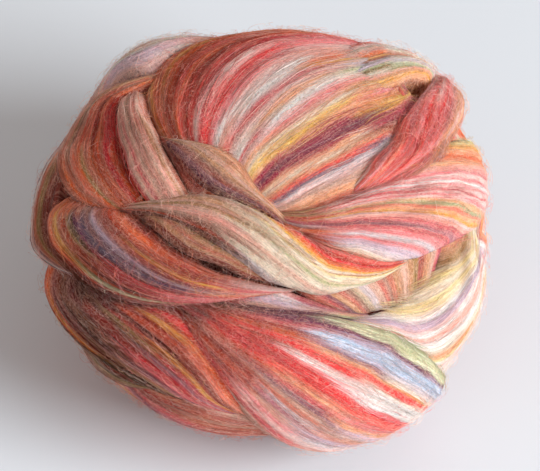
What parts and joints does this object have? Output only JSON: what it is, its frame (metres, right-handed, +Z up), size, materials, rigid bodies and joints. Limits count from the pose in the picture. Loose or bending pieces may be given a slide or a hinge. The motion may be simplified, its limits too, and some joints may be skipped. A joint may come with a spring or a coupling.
{
  "type": "wool roving ball",
  "caption": "Hand-wound ball of combed wool roving: broad, soft, striped strands crossing over one another, with a frayed red end tucked on top.",
  "frame": {"origin": "middle of the small flat spot that the ball stands on", "axes": "+Z up, -Y towards the side that faces the viewer, +X to the viewer's right"},
  "size_m": [0.1512, 0.1538, 0.1179],
  "materials": {
    "dyed_wool": "soft matt wool fibre, striped along the strand in reds, rose, cream, orange, gold, green, blue and plum"
  },
  "bodies": {
    "root": {"roving_ball": "dyed_wool"}
  },
  "joints": []
}
